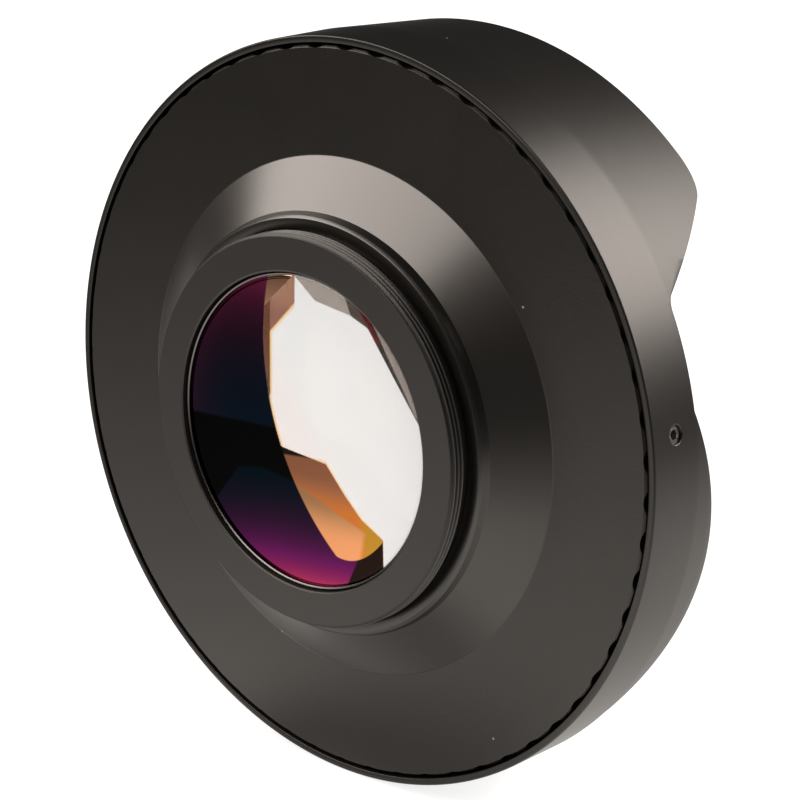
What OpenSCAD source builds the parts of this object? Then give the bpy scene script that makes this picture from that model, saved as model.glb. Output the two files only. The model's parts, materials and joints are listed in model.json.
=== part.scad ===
// Screw-on fisheye conversion lens with a petal hood that turns about the optical axis.
// Frame: +Y along the optical axis towards the subject, +Z up, origin at the middle of the mount thread.
// Each piece is drawn about the local z axis and laid along +Y by on_axis().
// Clock angles run clockwise from the top, seen from behind the lens.

/* [Mount thread] */
// Diameter of the male mount thread over its crests
thread_d = 57.9; // [52:0.1:62]
// Length of the thread at full diameter
thread_band = 2.2; // [1.6:0.1:4]
// Length of the lead chamfer at the thread's free end
thread_lead = 0.5; // [0.3:0.05:1]
// Radial depth of the lead chamfer
thread_lead_depth = 0.9; // [0.4:0.05:1.2]
// Width of the undercut between the thread and its shoulder
undercut_w = 0.9; // [0.4:0.1:1.5]
// Radial depth of the undercut
undercut_depth = 0.7; // [0.4:0.05:1]

/* [Shoulder and cone] */
// Radial width of the seat face that stops the thread
shoulder_w = 1.95; // [1:0.05:3]
// Gap between the thread's crests and the seat face
seat_gap = 0.15; // [0.1:0.05:0.4]
// Depth of the relief between the seat face and the mount ring
seat_relief = 0.3; // [0.2:0.05:0.6]
// Height of the shoulder's wall
shoulder_h = 1.5; // [1:0.1:3]
// Bright chamfer on the shoulder's edge
shoulder_chamfer = 0.4; // [0.2:0.05:0.6]
// How much wider the shoulder is at its foot
shoulder_draft = 0.4; // [0.1:0.05:1]
// Height of the cone between shoulder and rear plate
cone_h = 4.45; // [3:0.05:7]
// How much wider the cone's base is than its top, on the radius
cone_run = 7.3; // [4:0.1:12]

/* [Rear plate] */
// Thickness of the rear plate
plate_t = 3.45; // [3:0.05:4.5]
// Depth of the plate's face below the hood's rim
face_recess = 0.05; // [0:0.05:0.5]
// Thickness of the notched lip round the plate
lip_t = 2.05; // [1.5:0.05:2.2]
// How far the lip stands out beyond the hood's guide land
lip_reach = 0.5; // [0.45:0.05:0.7]
// Chamfer on the lip's rear edge
lip_chamfer = 0.5; // [0.45:0.05:0.8]
// Gap between the lip and the hood's rim
plate_gap = 0.35; // [0.2:0.05:0.4]
// Number of shallow round notches in the lip
notch_count = 60; // [30:1:72]
// Width of a notch at the lip's edge
notch_w = 2.9; // [1.6:0.1:3.2]
// Depth of a notch
notch_depth = 0.3; // [0.2:0.05:0.4]
// Clock angle of the first notch
notch_clock = 0.8; // [0:0.1:6]

/* [Hood] */
// Outside diameter of the hood's plain band, at the crease below the petals
band_d = 111.4; // [100:0.2:124]
// Wall of the band
band_wall = 2; // [1.7:0.05:3]
// Length of the band, from its rim to the crease and the valley floors
band_length = 9.8; // [9:0.1:13]
// How much the band closes in towards its rim, on the radius
band_flare = 0.15; // [0.05:0.05:0.4]
// Chamfer on the band's rim
rim_chamfer = 0.15; // [0.1:0.05:0.4]
// How much the petals close in towards their tips, on the radius
petal_draft = 0.75; // [0.3:0.05:1.2]
// Height of the two tall petals above the valley floors
tall_petal_h = 18.6; // [14:0.2:24]
// Height of the two short petals above the valley floors
short_petal_h = 5; // [2:0.2:9]
// Radius of the arc along a short petal's crest
short_petal_arc = 63; // [50:1:90]
// Distance from the middle plane to the foot of a tall petal's side
petal_foot = 37.2; // [32:0.2:40]
// Lean of a tall petal's side, from the valley floor
petal_lean = 63; // [55:1:75]
// Rounding of a tall petal's upper corners
petal_corner = 4; // [1:0.2:6]
// Fillet between a tall petal's side and the valley floor
valley_fillet = 2; // [0.5:0.1:4]
// Rounding of the petals' outer edge
petal_edge = 0.4; // [0.1:0.05:0.6]
// Clock angle of the first tall petal
hood_clock = 16; // [0:1:90]
// Width of the ledge inside the hood that stops on the housing
ledge_w = 0.95; // [0.5:0.05:1.5]
// Distance from the crease back to that ledge
ledge_drop = 1.2; // [0.8:0.1:2]

/* [Set screws] */
// Thread diameter of a set screw
screw_d = 2.5; // [2:0.1:3]
// Distance from the rim to the screws' axes
screw_setback = 5.1; // [4.7:0.1:5.7]
// Clock angle of the first screw
screw_clock = 82; // [70:1:95]
// Depth of a screw's outer end below the band's surface
screw_recess = 0.5; // [0.2:0.05:0.8]
// Width of the hexagon socket across its flats
socket_w = 1.3; // [0.9:0.1:1.3]
// Depth of the hexagon socket
socket_depth = 1; // [0.6:0.1:1.2]
// Length of the screw's cone point
point_length = 0.85; // [0.6:0.05:1]

/* [Front lens] */
// Wall between the hood's guide land and the front ring's thread
land_wall = 5.15; // [3:0.05:6]
// Height of the front lens's dome
dome_h = 17.5; // [16:0.1:20]
// Height of the front lens's cylindrical edge
front_edge = 2.4; // [1.8:0.1:3.2]
// Width of the flat rim round its dome
front_flat = 1.7; // [1:0.1:2.5]
// Thickness at its centre
front_centre = 3.8; // [3:0.1:5]
// Thickness of the shim below the front lens
shim_t = 0.3; // [0.2:0.05:0.5]
// Radial width of that shim
shim_w = 5.5; // [4:0.1:9]
// Height of the rubber seal on its rim
seal_t = 1; // [0.6:0.1:1.4]
// Radial reach of the seal and ring thread beyond the lens
seal_reach = 2; // [1.5:0.1:2.5]
// Height of the front retaining ring
front_ring_t = 2.3; // [1.6:0.1:3]
// Width of the ring's spanner slots
slot_w = 2; // [1:0.1:3]
// Depth of the ring's spanner slots
slot_depth = 0.8; // [0.4:0.1:1.2]

/* [Middle lenses] */
// Diameter of the second lens
second_d = 48; // [46.5:0.5:49]
// Radius of its domed face
second_radius = 64; // [50:1:90]
// Radius of its hollow back
second_back_radius = 50; // [45:1:70]
// Width of the hollow's flat rim
second_back_flat = 2.5; // [2:0.1:5]
// Height of its cylindrical edge
second_edge = 2.2; // [1.8:0.1:3]
// Diameter of the third lens
third_d = 46; // [40:0.5:47]
// Radius of its domed face
third_radius = 90; // [70:1:150]
// Height of its cylindrical edge
third_edge = 1.8; // [1.2:0.1:2.6]
// Width of the flat rims round the domes of both lenses
rim_flat = 1.4; // [1:0.1:2]
// Height of the spacer between the two lenses
spacer_t = 1.6; // [1.2:0.1:2.4]
// Radial width of the spacer
spacer_w = 0.8; // [0.6:0.1:1.3]
// Thickness of the light baffle
baffle_t = 0.3; // [0.2:0.05:0.5]
// Radial width of the light baffle
baffle_w = 1; // [0.8:0.1:5]
// Height of the second lens's retaining ring
second_ring_t = 1.6; // [1.2:0.1:2.2]
// Radial room for that ring's thread beyond the lens
second_ring_reach = 0.9; // [0.6:0.1:1.2]

/* [Inner cell] */
// Wall of the cell round the second lens's ring
cell_wall = 1.4; // [1.2:0.1:2]
// Thickness of the lip that carries the third lens
cell_lip_t = 1.2; // [0.8:0.1:2]
// Radial width of that lip
cell_lip_w = 1; // [0.8:0.1:2.5]
// Radial width of the cell's flange
cell_flange_w = 6; // [5:0.1:7]
// Thickness of the cell's flange
cell_flange_t = 1; // [0.8:0.1:1.4]
// Height of the cell's lock ring
lock_ring_t = 1.3; // [1:0.1:1.8]
// Radial room between the cell's flange and the hollow of the front lens
hollow_room = 2.7; // [2:0.1:4]
// Depth of the bed for the cell's flange in the plate's front
cell_bed_depth = 1.3; // [1:0.1:1.6]
// Thickness of the web between mount ring and cell
web_t = 1.2; // [0.8:0.1:1.6]
// Radial width of that web
web_w = 4; // [3:0.1:5]

/* [Rear doublet] */
// Wall of the mount ring from the thread's crests in to the doublet's bore
mount_wall = 5.5; // [5:0.1:7]
// Radius of the doublet's rear face
rear_radius = 250; // [180:10:500]
// Radius of its cemented face
cement_radius = 120; // [90:5:200]
// Edge height of the rear element
crown_edge = 2.2; // [1.6:0.1:2.8]
// Edge height of the front element
flint_edge = 4; // [3.4:0.1:4.6]
// Depth of the rear retaining ring below the mount's end face
rear_ring_recess = 0.75; // [0.4:0.05:1]
// Height of the rear retaining ring
rear_ring_t = 1; // [0.8:0.1:1.4]
// Width of the rear retaining ring
rear_ring_w = 0.8; // [0.6:0.05:1.2]
// Radial width of the seat at the front of the doublet
rear_seat_w = 1; // [0.8:0.1:3]

/* [Fits] */
// Running clearance of the hood on the housing, on the radius
hood_fit = 0.05; // [0.03:0.01:0.1]
// End play between the hood's ledge and the housing
hood_float = 0.3; // [0.2:0.05:0.5]
// Clearance of a set screw in its hole, on the radius
screw_fit = 0.05; // [0.03:0.01:0.1]
// Clearance of a set screw's point in the housing's groove
groove_gap = 0.15; // [0.1:0.05:0.3]
// Clearance of glass and threaded rings in their bores, on the radius
bore_fit = 0.05; // [0.03:0.01:0.1]

/* [Hidden] */
$fn = 128;

// Colours
anodised = [0.09, 0.09, 0.09];
matt_black = [0.05, 0.05, 0.05];
steel = [0.35, 0.35, 0.36];
rubber = [0.03, 0.03, 0.03];
front_glass = [0.35, 0.55, 0.5, 0.5];
inner_glass = [0.5, 0.5, 0.6, 0.5];
rear_glass = [0.45, 0.15, 0.45, 0.5];

// Allowance by which a cutter stands out of what it cuts
cut_over = 1;
// Depth to which a dome is sunk in the edge of its lens
dome_root = 0.5;
// Set screws round the band
screw_count = 3;
// Steps along a rounded corner of the petals
arc_steps = 10;

// Places along the optical axis, from behind
mount_end_z = -thread_band / 2 - thread_lead;
seat_z = thread_band / 2 + undercut_w;
cone_top_z = seat_z + shoulder_h;
face_z = cone_top_z + cone_h;
lip_top_z = face_z + lip_t;
plate_front_z = face_z + plate_t;
cell_z = plate_front_z - cell_bed_depth;
mount_front_z = cell_z - web_t;
rim_z = face_z - face_recess;
rim_bore_z = lip_top_z + hood_float;
crease_z = rim_z + band_length;
tip_z = crease_z + tall_petal_h;
crest_z = crease_z + short_petal_h;
ledge_z = crease_z - ledge_drop;
land_top_z = ledge_z - hood_float;
screw_z = rim_z + screw_setback;

// Radii of the mount, cone, plate and hood
thread_r = thread_d / 2;
spigot_r = thread_r - undercut_depth;
spigot_bore_r = spigot_r + bore_fit;
seat_inner_r = thread_r + seat_gap;
shoulder_r = thread_r + shoulder_w;
cone_top_r = shoulder_r + shoulder_draft;
cone_base_r = cone_top_r + cone_run;
band_r = band_d / 2;
hood_bore_r = band_r - band_wall;
rim_r = band_r - band_flare;
petal_tip_r = band_r - petal_draft;
petal_inner_r = hood_bore_r - ledge_w;
land_r = hood_bore_r - hood_fit;
lip_r = land_r + lip_reach;
rim_bore_r = lip_r + plate_gap;
notch_r = cap_radius(notch_w / 2, notch_depth);

// Set screws and the groove that their points run in
screw_r = screw_d / 2;
screw_hole_r = screw_r + screw_fit;
point_tip_r = screw_r - point_length;
screw_out_r = band_r - screw_recess;
point_base_r = hood_bore_r;
groove_floor_r = point_base_r - point_length - groove_gap;
groove_half = screw_r + 2 * groove_gap;
groove_floor_half = groove_half - (land_r - groove_floor_r);

// Front lens and what holds it
ring_bore_r = land_r - land_wall;
front_r = ring_bore_r - seal_reach;
front_back_z = plate_front_z + shim_t;
front_flat_z = front_back_z + front_edge;
front_half = front_r - front_flat;
front_radius = cap_radius(front_half, dome_h);
front_apex_z = front_flat_z + dome_h;
front_pocket_r = front_r + bore_fit;
front_ring_z = front_flat_z + seal_t;

// Inner cell, its lenses and the hollow of the front lens round it
third_r = third_d / 2;
second_r = second_d / 2;
cell_ring_r = second_r + second_ring_reach;
cell_r = cell_ring_r + cell_wall;
cell_flange_r = cell_r + cell_flange_w;
cell_bed_r = cell_flange_r + bore_fit;
third_back_z = cell_z + cell_lip_t;
third_flat_z = third_back_z + third_edge;
baffle_z = third_flat_z + spacer_t;
second_back_z = baffle_z + baffle_t;
second_flat_z = second_back_z + second_edge;
cell_top_z = second_flat_z + second_ring_t;
lock_ring_z = cell_z + cell_flange_t;
hollow_half = cell_flange_r + hollow_room;
hollow_depth = front_apex_z - front_centre - front_back_z;
hollow_radius = cap_radius(hollow_half, hollow_depth);

// Rear doublet and its ring in the mount ring
rear_pocket_r = thread_r - mount_wall;
rear_r = rear_pocket_r - bore_fit;
rear_ring_z = mount_end_z + rear_ring_recess;
crown_z = rear_ring_z + rear_ring_t;
cement_z = crown_z + crown_edge;
flint_front_z = cement_z + flint_edge;
rear_half = rear_r - rear_ring_w;

// Radius of a spherical cap or arc of a height over a half width
function cap_radius(half, height) = (pow(half, 2) + pow(height, 2)) / (2 * height);

// Height of a spherical cap of a radius over a circle of a half width
function sag(radius, half) = radius - sqrt(pow(radius, 2) - pow(half, 2));

// Lays what is drawn about the local z axis along the optical axis
module on_axis() {
  rotate([-90, 0, 0]) children();
}

// Turns what is drawn along the local x axis to a clock angle
module at_clock(angle) {
  rotate([0, 0, angle - 90]) children();
}

// Solid of revolution of a profile of [radius, z] points
module revolve(points) {
  rotate_extrude() polygon(points);
}

// Plain ring between two radii and two places along the axis
module ring(inner_r, outer_r, from_z, to_z) {
  revolve([[inner_r, from_z], [outer_r, from_z], [outer_r, to_z], [inner_r, to_z]]);
}

// Disc from the axis out to a radius, between two places along the axis
module disc(radius, from_z, to_z) {
  translate([0, 0, from_z]) cylinder(r = radius, h = to_z - from_z);
}

// Sphere that crosses the plane at base_z in a circle of the given half width and bulges up from it
module ball(base_z, radius, half) {
  translate([0, 0, base_z + sag(radius, half) - radius]) sphere(r = radius, $fn = 200);
}

// Spherical cap over the plane at base_z, with a straight root below it
module dome(base_z, radius, half, root = dome_root) {
  intersection() {
    ball(base_z, radius, half);
    disc(half, base_z - root, base_z + radius);
  }
}

module mount_ring() {
  color(anodised) on_axis() revolve([
    [rear_pocket_r, mount_end_z],
    [thread_r - thread_lead_depth, mount_end_z],
    [thread_r, mount_end_z + thread_lead],
    [thread_r, seat_z - undercut_w],
    [spigot_r, seat_z - undercut_w],
    [spigot_r, mount_front_z],
    [rear_r - rear_seat_w, mount_front_z],
    [rear_r - rear_seat_w, flint_front_z],
    [rear_pocket_r, flint_front_z]
  ]);
}

// Shallow round notches all round the rear plate's lip
module plate_notches() {
  for (i = [0 : notch_count - 1]) {
    at_clock(notch_clock + i * 360 / notch_count)
      translate([lip_r - notch_depth + notch_r, 0, face_z - cut_over])
        cylinder(r = notch_r, h = lip_t + 2 * cut_over, $fn = 48);
  }
}

// Shoulder, cone, plate and the guide land for the hood, with the groove for the set screws
module housing_shell() {
  revolve([
    [spigot_bore_r, seat_z + seat_relief],
    [seat_inner_r, seat_z + seat_relief],
    [seat_inner_r, seat_z],
    [shoulder_r - shoulder_chamfer, seat_z],
    [shoulder_r, seat_z + shoulder_chamfer],
    [cone_top_r, cone_top_z],
    [cone_base_r, face_z],
    [lip_r - lip_chamfer, face_z],
    [lip_r, face_z + lip_chamfer],
    [lip_r, lip_top_z],
    [land_r, lip_top_z],
    [land_r, screw_z - groove_half],
    [groove_floor_r, screw_z - groove_floor_half],
    [groove_floor_r, screw_z + groove_floor_half],
    [land_r, screw_z + groove_half],
    [land_r, land_top_z],
    [ring_bore_r, land_top_z],
    [ring_bore_r, front_flat_z],
    [front_pocket_r, front_flat_z],
    [front_pocket_r, plate_front_z],
    [cell_bed_r, plate_front_z],
    [cell_bed_r, cell_z],
    [spigot_r - web_w, cell_z],
    [spigot_r - web_w, mount_front_z],
    [spigot_bore_r, mount_front_z]
  ]);
}

module rear_housing() {
  color(anodised) on_axis() difference() {
    housing_shell();
    plate_notches();
  }
}

// Points along an arc, from one angle to another
function arc(centre, radius, from, to) =
  [for (i = [0 : arc_steps]) let (a = from + (to - from) * i / arc_steps) centre + radius * [cos(a), sin(a)]];

// Half of the milled outline, from a valley floor up a tall petal's side and round its upper corner
function petal_side() = let (
  run = 1 / tan(petal_lean),
  half_turn = (1 - cos(petal_lean)) / sin(petal_lean),
  fillet = [petal_foot - valley_fillet * half_turn, crease_z + valley_fillet],
  corner = [petal_foot + tall_petal_h * run + petal_corner * half_turn, tip_z - petal_corner]
) concat(
  arc(fillet, valley_fillet, -90, petal_lean - 90),
  arc(corner, petal_corner, petal_lean + 90, 90),
  [[corner.x, tip_z + cut_over]]
);

// Outline that is milled away across the hood, seen along the short petals
module petal_outline() {
  side = petal_side();
  last = len(side) - 1;
  difference() {
    polygon(concat(side, [for (i = [0 : last]) [-side[last - i].x, side[last - i].y]]));
    translate([0, crest_z - short_petal_arc]) circle(r = short_petal_arc);
  }
}

// Band and petals before the valleys are cut
module hood_shell() {
  revolve([
    [rim_bore_r, rim_z],
    [rim_r - rim_chamfer, rim_z],
    [rim_r, rim_z + rim_chamfer],
    [band_r, crease_z],
    [petal_tip_r, tip_z - petal_edge],
    [petal_tip_r - petal_edge, tip_z],
    [petal_inner_r, tip_z],
    [petal_inner_r, ledge_z],
    [hood_bore_r, ledge_z],
    [hood_bore_r, rim_bore_z],
    [rim_bore_r, rim_bore_z]
  ]);
}

module hood() {
  color(anodised) on_axis() difference() {
    hood_shell();
    at_clock(hood_clock) rotate([90, 0, 0])
      linear_extrude(height = band_d + 2 * cut_over, center = true) petal_outline();
    for (i = [0 : screw_count - 1]) {
      at_clock(screw_clock + i * 360 / screw_count)
        translate([petal_inner_r, 0, screw_z]) rotate([0, 90, 0])
          cylinder(r = screw_hole_r, h = band_r, $fn = 48);
    }
  }
}

// Set screw with a cone point and a hexagon socket, at one of the places round the band
module set_screw(index) {
  color(steel) on_axis() at_clock(screw_clock + index * 360 / screw_count)
    translate([0, 0, screw_z]) rotate([0, 90, 0]) difference() {
      revolve([
        [0, point_base_r - point_length],
        [point_tip_r, point_base_r - point_length],
        [screw_r, point_base_r],
        [screw_r, screw_out_r],
        [0, screw_out_r]
      ]);
      translate([0, 0, screw_out_r - socket_depth])
        cylinder(d = socket_w / cos(30), h = socket_depth + cut_over, $fn = 6);
    }
}

module front_lens() {
  color(front_glass) on_axis() difference() {
    union() {
      disc(front_r, front_back_z, front_flat_z);
      dome(front_flat_z, front_radius, front_half);
    }
    ball(front_back_z, hollow_radius, hollow_half);
  }
}

module front_shim() {
  color(matt_black) on_axis() ring(front_r - shim_w, front_r, plate_front_z, front_back_z);
}

module front_seal() {
  color(rubber) on_axis() ring(front_half, ring_bore_r - bore_fit, front_flat_z, front_ring_z);
}

module front_retaining_ring() {
  top_z = front_ring_z + front_ring_t;
  color(anodised) on_axis() difference() {
    ring(front_half, ring_bore_r - bore_fit, front_ring_z, top_z);
    translate([0, 0, top_z - slot_depth / 2 + cut_over / 2])
      cube([2 * ring_bore_r + cut_over, slot_w, slot_depth + cut_over], center = true);
  }
}

module inner_cell() {
  color(matt_black) on_axis() revolve([
    [third_r - cell_lip_w, cell_z],
    [cell_flange_r, cell_z],
    [cell_flange_r, lock_ring_z],
    [cell_r, lock_ring_z],
    [cell_r, cell_top_z],
    [cell_ring_r, cell_top_z],
    [cell_ring_r, second_flat_z],
    [second_r + bore_fit, second_flat_z],
    [second_r + bore_fit, second_back_z],
    [third_r + bore_fit, second_back_z],
    [third_r + bore_fit, third_back_z],
    [third_r - cell_lip_w, third_back_z]
  ]);
}

module cell_lock_ring() {
  color(anodised) on_axis() ring(cell_r + bore_fit, cell_flange_r, lock_ring_z, lock_ring_z + lock_ring_t);
}

module second_lens() {
  color(inner_glass) on_axis() difference() {
    union() {
      disc(second_r, second_back_z, second_flat_z);
      dome(second_flat_z, second_radius, second_r - rim_flat);
    }
    ball(second_back_z, second_back_radius, second_r - second_back_flat);
  }
}

module second_retaining_ring() {
  color(anodised) on_axis()
    ring(second_r - rim_flat, cell_ring_r - bore_fit, second_flat_z, cell_top_z);
}

module light_baffle() {
  color(matt_black) on_axis() ring(third_r - baffle_w, third_r, baffle_z, second_back_z);
}

module lens_spacer() {
  color(matt_black) on_axis() ring(third_r - spacer_w, third_r, third_flat_z, baffle_z);
}

module third_lens() {
  color(inner_glass) on_axis() union() {
    disc(third_r, third_back_z, third_flat_z);
    dome(third_flat_z, third_radius, third_r - rim_flat);
  }
}

module rear_flint_lens() {
  color(inner_glass) on_axis() difference() {
    disc(rear_r, cement_z - cut_over, flint_front_z);
    ball(cement_z, cement_radius, rear_r);
  }
}

module rear_crown_lens() {
  color(rear_glass) on_axis() union() {
    dome(cement_z, cement_radius, rear_r, crown_edge);
    translate([0, 0, 2 * crown_z]) mirror([0, 0, 1]) dome(crown_z, rear_radius, rear_half);
  }
}

module rear_retaining_ring() {
  color(anodised) on_axis()
    ring(rear_half, rear_pocket_r - bore_fit, rear_ring_z, crown_z);
}

mount_ring();
rear_housing();
hood();
set_screw(0);  // set_screw_1
set_screw(1);  // set_screw_2
set_screw(2);  // set_screw_3
front_lens();
front_shim();
front_seal();
front_retaining_ring();
inner_cell();
cell_lock_ring();
second_lens();
second_retaining_ring();
light_baffle();
lens_spacer();
third_lens();
rear_flint_lens();
rear_crown_lens();
rear_retaining_ring();
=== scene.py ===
"""Looks of a screw-on fisheye conversion lens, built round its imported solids.

Metres, in the frame of the solids: +Y along the optical axis towards the subject, +Z up, origin mid-thread.
Clock angles run clockwise from the top, seen from behind, so clock c at radius r is (r sin c, y, r cos c).
"""
import json
import bmesh
import bpy
import numpy as np
from mathutils import Matrix


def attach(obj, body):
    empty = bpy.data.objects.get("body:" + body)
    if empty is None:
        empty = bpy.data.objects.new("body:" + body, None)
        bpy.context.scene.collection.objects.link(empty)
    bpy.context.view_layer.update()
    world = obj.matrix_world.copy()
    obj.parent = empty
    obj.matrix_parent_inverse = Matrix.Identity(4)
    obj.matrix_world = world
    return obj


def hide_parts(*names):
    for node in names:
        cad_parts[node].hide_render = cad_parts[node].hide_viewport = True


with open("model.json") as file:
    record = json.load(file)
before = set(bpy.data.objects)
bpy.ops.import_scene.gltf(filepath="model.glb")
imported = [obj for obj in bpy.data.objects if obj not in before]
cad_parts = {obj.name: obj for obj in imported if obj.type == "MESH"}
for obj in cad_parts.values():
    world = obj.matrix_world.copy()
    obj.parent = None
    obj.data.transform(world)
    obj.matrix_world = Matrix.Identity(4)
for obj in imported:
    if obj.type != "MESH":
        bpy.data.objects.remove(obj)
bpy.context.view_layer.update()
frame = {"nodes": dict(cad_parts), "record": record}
MM = 0.001

# Mount collar: radii and places along the axis in millimetres, as all sizes below
THREAD_R, THREAD_PITCH, THREAD_DEPTH = 28.95, 0.75, 0.46
LEAD_DEPTH, LEAD_LENGTH = 0.4, 0.5
MOUNT_END, THREAD_TOP, MOUNT_SEAT, MOUNT_FRONT = -1.6, 1.1, 2.0, 8.9
SPIGOT_R, POCKET_R, SEAT_R, BORE_FIT = 28.25, 23.45, 22.4, 0.05

# Rear housing: shoulder, cone, plate with a notched lip, guide land, screw groove and the beds in front
SEAT_INNER_R, SEAT_RELIEF, SHOULDER_R, SHOULDER_CHAMFER = 29.1, 0.3, 30.9, 0.4
CONE_TOP_R, CONE_BASE_R, CONE_TOP, FACE = 31.3, 38.6, 3.5, 7.95
LIP_R, LIP_TOP, LIP_CHAMFER = 54.15, 10.0, 0.35
NOTCHES, NOTCH_CLOCK, NOTCH_W, NOTCH_DEPTH = 60, 0.8, 2.8, 0.42
LAND_R, LAND_TOP, GROOVE_R, GROOVE_HALF, GROOVE_FLOOR_HALF = 53.65, 16.2, 52.7, 1.55, 0.6
RING_BORE_R, FRONT_POCKET_R, CELL_BED_R, WEB_W = 48.5, 46.55, 32.35, 4.0
PLATE_FRONT, CELL_BED = 11.4, 10.1

# Hood: band, petals and screw holes
RIM, CREASE, CREST, TIP, LEDGE = 7.9, 17.7, 22.7, 36.3, 16.5
RIM_R, RIM_CHAMFER, RIM_BORE_R, RIM_BORE_TOP = 55.55, 0.15, 54.5, 10.3
BAND_R, BORE_R, PETAL_TIP_R, PETAL_INNER_R = 55.7, 53.7, 54.95, 52.75
HOOD_CLOCK, CREST_ARC, PETAL_FOOT, PETAL_LEAN, FILLET_R, CORNER_R = 16.0, 63.0, 37.2, 63.0, 2.0, 4.0
SCREWS, SCREW_CLOCK, SCREW_Y, SCREW_HOLE_R = 3, 82.0, 13.0, 1.3
HOOD_COLUMNS, EDGE_ROUND = 1440, 0.25
RIM_ROWS, HOLE_ROWS, HOLE_REACH, HOLE_HALF_COLUMNS = 5, 10, 2.25, 9

# Rear glass and the ring that holds it
REAR_CURVE, REAR_FACE_R, REAR_RIM, REAR_GLASS_R, FLINT_FRONT = 700.0, 22.85, -0.5, 23.4, 6.35
RING_FOOT, RING_EDGE_R, RING_EDGE, RING_TOP_R, RING_TOP, RING_GROOVE = 0.15, 22.9, -0.73, 23.1, -0.85, -0.2

# Lenses inside and in front: edge radius, places of the flats, half widths and radii of the curved faces
THIRD_R, THIRD_BACK, THIRD_FLAT, THIRD_HALF, THIRD_CURVE = 23.0, 11.3, 13.1, 21.6, 90.0
SECOND_R, SECOND_BACK, SECOND_FLAT = 24.0, 15.0, 17.2
HOLLOW_HALF, HOLLOW_CURVE, SECOND_HALF, SECOND_CURVE = 21.5, 50.0, 22.6, 64.0
FRONT_R, FRONT_BACK, FRONT_FLAT, FRONT_APEX, FRONT_THICK = 46.5, 11.7, 14.1, 31.6, 3.8
DOME_HALF, DOME_CURVE, FRONT_HOLLOW_HALF = 44.8, 66.094, 35.0
BEVEL = 0.1

FLOOR_Z = -55.7

# Camera: pixels of the photograph, place in metres, and the directions ahead and to the right
FOCAL_PX, FRAME_PX, SENSOR_MM = 2500, 800, 36.0
CAMERA_PLACE = 0.2350, -0.2477, 0.1062
CAMERA_AHEAD, CAMERA_RIGHT = (-0.63148, 0.72102, -0.28523), (0.75227, 0.65885, 0.0)


def unit(vectors):
    """Vectors divided by their lengths."""
    return vectors / np.linalg.norm(vectors, axis=-1, keepdims=True)


def rounded(corners, steps=3):
    """Closed profile through corners of (radius, y, rounding), each replaced by an arc tangent to both sides.

    With d1, d2 the unit vectors to the neighbours and 2f the angle between them, the arc's centre is at
    p + unit(d1 + d2) r / sin f, and its points turn evenly from the first tangent point to the second.
    """
    data = np.array(corners, float)
    p, r = data[:, :2], data[:, 2:]
    d1, d2 = unit(np.roll(p, 1, 0) - p), unit(np.roll(p, -1, 0) - p)
    f = np.arccos(np.clip((d1 * d2).sum(1, keepdims=True), -1, 1)) / 2
    centre = p + unit(d1 + d2) * r / np.sin(f)
    v1, v2 = p + d1 * r / np.tan(f) - centre, p + d2 * r / np.tan(f) - centre
    w = (np.pi - 2 * f)[:, None]
    s = np.linspace(0, 1, steps + 1)[None, :, None]
    arc = (np.sin((1 - s) * w) * v1[:, None] + np.sin(s * w) * v2[:, None]) / np.sin(w)
    return (centre[:, None] + arc).reshape(-1, 2)


def turned(radius, y, clock):
    """Points (r sin c, y, r cos c) of a surface of revolution; r and y are (rows, 1) or (rows, columns)."""
    a = np.radians(clock)[None, :]
    shape = np.broadcast(radius, a).shape
    grid = np.stack([radius * np.sin(a), np.broadcast_to(y, shape), radius * np.cos(a)], -1)
    return grid * MM


def grid_faces(rows, columns, close_rows=True):
    """Quads of a grid whose columns wrap round, and whose rows wrap round too where the profile is closed."""
    i = np.arange(rows if close_rows else rows - 1)[:, None]
    j = np.arange(columns)[None, :]
    i2, j2 = (i + 1) % rows, (j + 1) % columns
    corners = [i * columns + j, i2 * columns + j, i2 * columns + j2, i * columns + j2]
    return np.stack(np.broadcast_arrays(*corners), -1).reshape(-1, 4)


def piece(name, points, faces, body, slot, replaced):
    """Makes a mesh of the points that faces use, welds its poles, turns it outwards, rides it on a body."""
    used, faces = np.unique(faces, return_inverse=True)
    mesh = bpy.data.meshes.new(name)
    mesh.from_pydata(points.reshape(-1, 3)[used].tolist(), [], faces.reshape(-1, 4).tolist())
    shape = bmesh.new()
    shape.from_mesh(mesh)
    bmesh.ops.remove_doubles(shape, verts=shape.verts, dist=1e-7)
    bmesh.ops.recalc_face_normals(shape, faces=shape.faces)
    shape.to_mesh(mesh)
    shape.free()
    mesh.polygons.foreach_set("use_smooth", np.ones(len(mesh.polygons), bool))
    mesh.materials.append(LOOKS[slot])
    made = bpy.data.objects.new(name, mesh)
    bpy.context.scene.collection.objects.link(made)
    weighted = made.modifiers.new("even_shading", "WEIGHTED_NORMAL")
    weighted.mode = "FACE_AREA"
    weighted.weight = 80
    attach(made, body)
    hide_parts(*replaced)


def lens(name, profile, columns, slot, replaced):
    """Lens turned from an open profile of (radius, y) points that starts and ends on the axis."""
    clock = np.linspace(0, 360, columns, endpoint=False)
    points = turned(profile[:, :1], profile[:, 1:], clock)
    piece(name, points, grid_faces(len(profile), columns, False), "lens_body", slot, replaced)


def cap(radius, half, base, up, steps):
    """Points (r, y) of a spherical cap from its apex to its half width, where it meets the plane y = base.

    y is base plus up times the difference of sqrt(radius^2 - r^2) and sqrt(radius^2 - half^2); up is 1 or -1.
    """
    r = np.linspace(0, half, steps)
    y = base + up * (np.sqrt(radius ** 2 - r ** 2) - np.sqrt(radius ** 2 - half ** 2))
    return np.stack([r, y], 1)


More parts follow.
